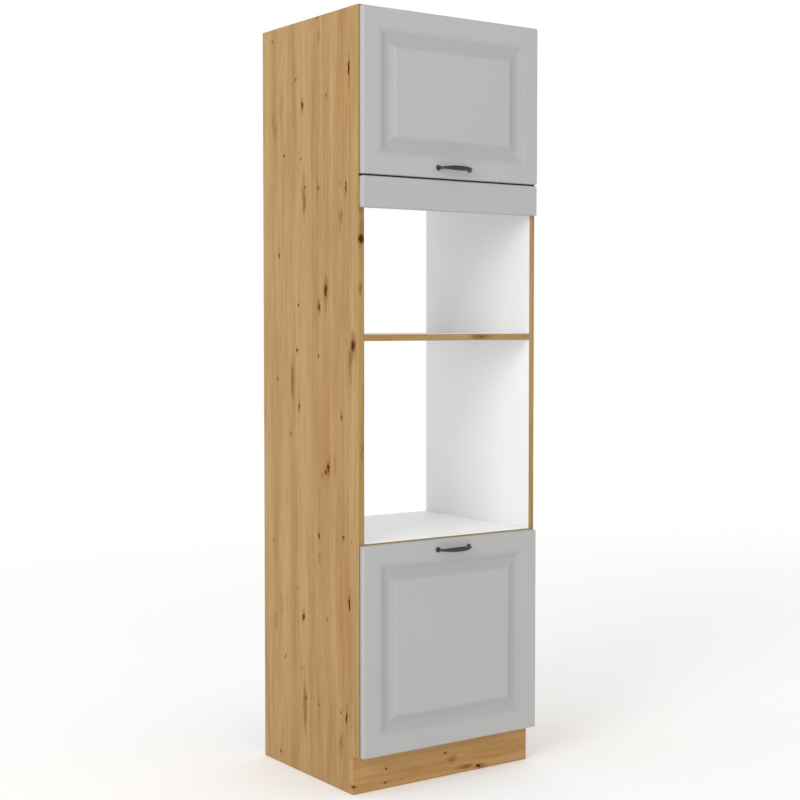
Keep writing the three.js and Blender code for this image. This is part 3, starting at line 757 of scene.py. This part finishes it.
# the two round pockets for the hinge cups in the back of the flap
def boreCups(piece):
    bm = bmesh.new()
    gap = cupBore["gap"] * mm
    turn = Matrix.Rotation(quarter, 4, "X")
    for side in sides:
        low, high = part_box(f"hinge_cup_{side}")
        radius = (high.z - low.z) / 2 + gap
        place = Matrix.Translation((low + high) / 2)
        bmesh.ops.create_cone(bm, cap_ends=True, segments=cupBore["steps"], radius1=radius, radius2=radius,
                              depth=high.y - low.y + 2 * gap, matrix=place @ turn)
    cutterMesh = bpy.data.meshes.new("cupBores")
    bm.to_mesh(cutterMesh)
    bm.free()
    cutter = bpy.data.objects.new("cupBores", cutterMesh)
    bpy.context.scene.collection.objects.link(cutter)
    piece.modifiers.clear()
    cut = piece.modifiers.new("cupBores", "BOOLEAN")
    cut.operation = "DIFFERENCE"
    cut.solver = "EXACT"
    cut.object = cutter
    bpy.context.view_layer.update()
    evaluated = piece.evaluated_get(bpy.context.evaluated_depsgraph_get())
    piece.data = bpy.data.meshes.new_from_object(evaluated)
    piece.modifiers.clear()
    bpy.data.objects.remove(cutter)
    piece.modifiers.new("weightedNormals", "WEIGHTED_NORMAL").keep_sharp = True


makeFronts()
print("fronts made")


# the plinth's ends are oak too, its top and bottom bare
def makePlinth():
    bm = cadShape("plinth_board")
    roundEdges(bm, boards["sideEdge"])
    finishPiece("plinth_oak", bm, "carcass", "oak_decor", [oakPlinth, chips],
                lambda face: 1 if abs(face.normal.z) > facing else 0, ["plinth_board"])


# hardboards, in mm
backs = {
    "edge": 0.3,
    "thinner": 0.5,            # room for the nail heads
    "nailInset": 7.5,
    "nailSpacing": 105,
    "nailHead": [(0, 0), (2.6, 0), (2.6, 0.2), (1.8, 0.38), (0, 0.45)],     # radius, height
    "nailSteps": 12,
}


def makeBacks():
    for node in ("upper_back_panel", "lower_back_panel"):
        low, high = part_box(node)
        bm = cadShape(node)
        rear = [v for v in bm.verts if v.co.y > (low.y + high.y) / 2]
        bmesh.ops.translate(bm, verts=rear, vec=(0, -backs["thinner"] * mm, 0))
        roundEdges(bm, backs["edge"], segments=1)
        finishPiece(f"{node}_hardboard", bm, "carcass", "white_hardboard", [whiteBack, brownBack],
                    lambda face: 0 if face.normal.y <= -facing else 1, [node])
        makeNails(node.replace("panel", "nails"), low, high)
    bm = cadShape("drawer_bottom")
    roundEdges(bm, backs["edge"], segments=1)
    finishPiece("drawer_bottom_hardboard", bm, "drawer", "white_hardboard", [whiteBack, brownBack],
                lambda face: 0 if face.normal.z > facing else 1, ["drawer_bottom"])


# panel nails in a row along each edge of a back panel
def makeNails(name, low, high):
    inset = backs["nailInset"] * mm
    left, right, bottom, top = low.x + inset, high.x - inset, low.z + inset, high.z - inset
    places = set()
    for (x0, z0), (x1, z1) in (((left, bottom), (right, bottom)), ((left, top), (right, top)),
                               ((left, bottom), (left, top)), ((right, bottom), (right, top))):
        count = round(max(x1 - x0, z1 - z0) / (backs["nailSpacing"] * mm))
        for step in range(count + 1):
            share = step / count
            x, z = x0 + (x1 - x0) * share, z0 + (z1 - z0) * share
            places.add((round(x, 5), round(z, 5)))       # a corner belongs to two rows but counts once
    bm = bmesh.new()
    face = high.y - backs["thinner"] * mm
    for x, z in sorted(places):
        turned(bm, backs["nailHead"], Vector((x, face, z)), (0, 1, 0), backs["nailSteps"])
    finishPiece(name, bm, "carcass", "zinc_steel", [zinc])


makePlinth()
makeBacks()
print("plinth and backs made")


# the drawer's four upright boards, bare at their lower edge
def makeDrawerBox():
    for node in ("drawer_box_front", "drawer_box_back", "drawer_side_left", "drawer_side_right"):
        bm = cadShape(node)
        roundEdges(bm, boards["edge"])
        finishPiece(f"{node}_board", bm, "drawer", "white_laminate", [white, chips],
                    lambda face: 1 if face.normal.z < -facing else 0, [node])


makeDrawerBox()
print("drawer box made")


# fittings keep the construction's shape, with softened edges: what each kind is part of (its own body where
# none is named), its slot and its finish
fittings = {
    "fascia_bracket": ("carcass", "zinc_steel", zinc),
    "plinth_bracket": ("carcass", "zinc_steel", zinc),
    "wall_bracket": ("carcass", "zinc_steel", zinc),
    "strut_wall_bracket": ("carcass", "zinc_steel", zinc),
    "runner_outer": ("carcass", "zinc_steel", zinc),
    "hinge_arm": ("carcass", "nickel_steel", nickel),
    "hinge_plate": ("carcass", "nickel_steel", nickel),
    "hinge_cup": ("flap", "nickel_steel", nickel),
    "hinge_link": (None, "nickel_steel", nickel),
    "strut_flap_bracket": ("flap", "zinc_steel", zinc),
    "strut_barrel": (None, "strut_paint", barrelPaint),
    "strut_rod": (None, "nickel_steel", rodSteel),
    "runner_middle": (None, "zinc_steel", zinc),
    "runner_inner": ("drawer", "zinc_steel", zinc),
    "flap_pad": ("flap", "clear_pad", padClear),
    "drawer_pad": ("drawer", "clear_pad", padClear),
}

# where the screw heads of the right side's fittings sit in the unit, and which way they look
screws = {
    "hinge_plate": [(182, 37, 2079, "down"), (218, 37, 2079, "down")],
    "hinge_arm": [(200, 30, 2076.2, "down"), (200, 60, 2076.2, "down")],
    "hinge_cup": [(178.5, -0.5, 2075.5, "back"), (221.5, -0.5, 2075.5, "back")],
    "strut_wall_bracket": [(279.7, 30, 2045, "inward"), (279.7, 30, 2070.3, "inward")],
    "strut_flap_bracket": [(263.5, 0.8, 1910, "back"), (263.5, 0.8, 1932, "back")],
    "fascia_bracket": [(279.2, 18, 1616, "inward"), (264, 2.5, 1616, "back")],
    "plinth_bracket": [(279.2, 64.3, 54, "inward"), (264, 48.8, 54, "back")],
    "wall_bracket": [(173, 476, 2079.2, "down"), (187, 476, 2079.2, "down")],
    "runner_inner": [(270.2, back, 206, "outward") for back in (40, 225, 410)],
}
# outlines as radius and height
screwShape = {
    "head": [(0, 0), (3.2, 0), (3.2, 0.5), (2.8, 1.1), (2.0, 1.45), (1.4, 1.5), (1.1, 0.8), (0, 0.7)],
    "headSteps": 20,
    "handleScrew": [(0, 1.2), (1.1, 1.25), (1.5, 2.35), (2.7, 2.3), (3.6, 1.7), (4, 0.9), (4, 0.3),
                    (2, 0.3), (2, -22), (0, -22)],
    "handleSteps": 24,
    "handleSeat": -1.5,        # the back of the fronts, as unitPlace's y
    "edge": 0.25,              # how far the fittings' own edges are rounded off
}


def makeFittings():
    for side, sign in sides.items():
        looks = {"down": (0, 0, -1), "back": (0, 1, 0), "inward": (-sign, 0, 0), "outward": (sign, 0, 0)}
        for kind, (body, slotName, material) in fittings.items():
            node = f"{kind}_{side}"
            bm = cadShape(node)
            roundEdges(bm, screwShape["edge"], angle=60)
            for x, y, z, way in screws.get(kind, ()):
                seat = unitPlace(sign * x, y, z)
                turned(bm, screwShape["head"], seat, looks[way], screwShape["headSteps"])
            ending = "soft" if material is padClear else "metal"
            finishPiece(f"{node}_{ending}", bm, body or node, slotName, [material], None, [node], sharp=40)


# pan-head screws that hold the handles, from behind the fronts
def makeHandleScrews():
    for which, body in (("upper", "flap"), ("lower", "drawer")):
        for side in sides:
            node = f"{which}_handle_screw_{side}"
            low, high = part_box(node)
            seat = (low + high) / 2
            seat.y = carcassFront + screwShape["handleSeat"] * mm
            bm = bmesh.new()
            turned(bm, screwShape["handleScrew"], seat, (0, 1, 0), screwShape["handleSteps"])
            finishPiece(f"{node}_metal", bm, body, "zinc_steel", [zinc], None, [node], sharp=40)


makeFittings()
makeHandleScrews()
print("fittings made")


# bow handles, in mm
bow = {
    "footSpread": 53,
    "foot": [(0, 0), (7.1, 0), (7.5, 0.5), (7.5, 1.4), (7.0, 2.1), (5.9, 2.5), (5.1, 2.6), (4.6, 3.1),
             (4.2, 4.4), (3.2, 5.2), (0, 5.6)],          # radius, height
    "footSteps": 36,
    "steps": 48,
    "ringSides": 28,
    "spine": [(53, 1.5), (51.6, 9), (46, 17), (35, 23.4), (19, 27.1), (0, 28.1)],     # sideways, outward
    "neck": (6.6, 7.4),       # thickness, height
    "grip": (7.6, 13.2),
    "swellFrom": 0.17,        # shares of the bow's length
    "swellTo": 0.47,
    "lookAround": 0.01,       # this far ahead and back along it gives a ring's direction
}


def bowSpine():
    left = [Vector((-x, -out)) for x, out in bow["spine"]]
    right = [Vector((x, -out)) for x, out in reversed(bow["spine"][:-1])]
    return left + right


# a smooth curve through the spine's points
def alongSpine(points, share):
    place = share * (len(points) - 1)
    index = min(int(place), len(points) - 2)
    t = place - index
    p1, p2 = points[index], points[index + 1]
    p0 = points[index - 1] if index else p1 * 2 - p2
    p3 = points[index + 2] if index + 2 < len(points) else p2 * 2 - p1
    return (p1 * 2 + (p2 - p0) * t + (p0 * 2 - p1 * 5 + p2 * 4 - p3) * t * t
            + (p1 * 3 - p0 - p2 * 3 + p3) * t ** 3) / 2


# the place, turn and size of one ring of the bow, at a share of its length
def ringMatrix(share):
    points = bowSpine()
    at = alongSpine(points, share)
    ahead = alongSpine(points, min(share + bow["lookAround"], 1))
    tangent = (ahead - alongSpine(points, max(share - bow["lookAround"], 0))).to_3d().normalized()
    inner = (min(share, 1 - share) - bow["swellFrom"]) / (bow["swellTo"] - bow["swellFrom"])
    inner = min(max(inner, 0), 1)
    swell = inner * inner * (3 - 2 * inner)
    thick, tall = (neck + (grip - neck) * swell for neck, grip in zip(bow["neck"], bow["grip"]))
    upward = Vector((0, 0, 1))
    outward = tangent.cross(upward)
    turn = Matrix((outward, upward, tangent)).transposed().to_4x4()
    place = Matrix.Translation(Vector((at.x, at.y, 0)) * mm)
    return place @ turn @ Matrix.Diagonal((thick / 2 * mm, tall / 2 * mm, 1, 1))


def makeHandle(node, body):
    low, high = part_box(node)
    seat = Vector((0, high.y, (low.z + high.z) / 2))
    bm = bmesh.new()
    start = ringMatrix(0)
    bmesh.ops.create_circle(bm, cap_ends=True, segments=bow["ringSides"], radius=1.0, matrix=start)
    ring = list(bm.edges)
    before = start
    for step in range(1, bow["steps"] + 1):
        now = ringMatrix(step / bow["steps"])
        extruded = bmesh.ops.extrude_edge_only(bm, edges=ring)["geom"]
        verts = [g for g in extruded if isinstance(g, bmesh.types.BMVert)]
        ring = [g for g in extruded if isinstance(g, bmesh.types.BMEdge) and g.is_boundary]
        bmesh.ops.transform(bm, matrix=now @ before.inverted(), verts=verts)
        before = now
    bmesh.ops.contextual_create(bm, geom=ring)
    bmesh.ops.recalc_face_normals(bm, faces=bm.faces)
    for sign in sides.values():
        footPlace = Vector((sign * bow["footSpread"] * mm, 0, 0))
        turned(bm, bow["foot"], footPlace, (0, -1, 0), bow["footSteps"])
    bmesh.ops.translate(bm, verts=bm.verts, vec=seat)
    finishPiece(f"{node}_bow", bm, body, "graphite_metal", [graphiteMetal], None, [node], sharp=45)


makeHandle("upper_handle", "flap")
makeHandle("lower_handle", "drawer")
print("handles made")


# floor and light, in metres but for the drop
studio = {
    "floorSize": 14,
    "floorDrop": 0.5,             # mm under the unit, so that the two never share a plane
    "floorColor": tone(246, 246, 245),
    "floorCloud": tone(236, 236, 236),
    "cloudStrength": 0.05,
    "floorGlow": (0.1, 0.25),     # by the unit, and far away where the floor meets the white sky
    "floorFade": (1.5, 9.0),
    "sky": 0.87,
    "keyPlace": (-7.76, -3.62, 3.83),
    "keySize": 3.6,
    "keyPower": 276,
}


def makeFloor():
    bm = bmesh.new()
    bmesh.ops.create_grid(bm, x_segments=1, y_segments=1, size=studio["floorSize"])
    mesh = bpy.data.meshes.new("studioFloor")
    bm.to_mesh(mesh)
    bm.free()
    floor = bpy.data.objects.new("studioFloor", mesh)
    bpy.context.scene.collection.objects.link(floor)
    floor.location.z = -studio["floorDrop"] * mm
    material, tree, shader, place = newMaterial("studioFloor", roughness=0.9, specular=0.1)
    cloud = noise(tree, place, fineness=0.7, detail=1.0)
    share = mathNode(tree, "MULTIPLY", cloud, studio["cloudStrength"])
    color = mixColor(tree, share, studio["floorColor"], studio["floorCloud"])
    tree.links.new(color, shader.inputs["Base Color"])
    shader.inputs["Emission Color"].default_value = (1, 1, 1, 1)
    near, far = studio["floorFade"]
    glow = fade(tree, vectorNode(tree, "LENGTH", place), near, far, *studio["floorGlow"])
    tree.links.new(glow, shader.inputs["Emission Strength"])
    mesh.materials.append(material)


# white as the camera sees it, but softer as a light, with one large panel at the front left
def makeLight():
    world = bpy.data.worlds.new("studioWhite")
    world.use_nodes = True
    tree = world.node_tree
    tree.nodes.clear()
    seen = addNode(tree, "ShaderNodeLightPath").outputs["Is Camera Ray"]
    strength = mathNode(tree, "ADD", mathNode(tree, "MULTIPLY", seen, 1.0 - studio["sky"]), studio["sky"])
    back = addNode(tree, "ShaderNodeBackground", {"Color": (1, 1, 1, 1), "Strength": strength})
    addNode(tree, "ShaderNodeOutputWorld", {"Surface": back.outputs[0]})
    bpy.context.scene.world = world
    lamp = bpy.data.lights.new("keyPanel", "AREA")
    lamp.shape = "SQUARE"
    lamp.size = studio["keySize"]
    lamp.energy = studio["keyPower"]
    key = bpy.data.objects.new("keyPanel", lamp)
    bpy.context.scene.collection.objects.link(key)
    key.location = studio["keyPlace"]
    aim = Vector((0, 0, unitTop / 2)) - key.location
    key.rotation_euler = aim.to_track_quat("-Z", "Y").to_euler()


camera = {
    "place": (-2526.65, -3377.07, 1265.97),    # as unitPlace takes it
    "yaw": 0.609,
    "pitch": -0.042,
    "lens": 69.03,
    "sensor": 36,
    "shiftX": 0.0017,
    "shiftY": -0.0154,
}


def makeCamera():
    photoView = bpy.data.objects.new("photoView", bpy.data.cameras.new("photoView"))
    bpy.context.scene.collection.objects.link(photoView)
    photoView.location = unitPlace(*camera["place"])
    photoView.rotation_euler = (quarter + camera["pitch"], 0, -camera["yaw"])
    photoView.data.sensor_width = camera["sensor"]
    photoView.data.lens = camera["lens"]
    photoView.data.shift_x = camera["shiftX"]
    photoView.data.shift_y = camera["shiftY"]
    bpy.context.scene.camera = photoView


makeFloor()
makeLight()
makeCamera()
bpy.context.scene.view_settings.view_transform = "Standard"
print("studio made")

bpy.context.view_layer.update()
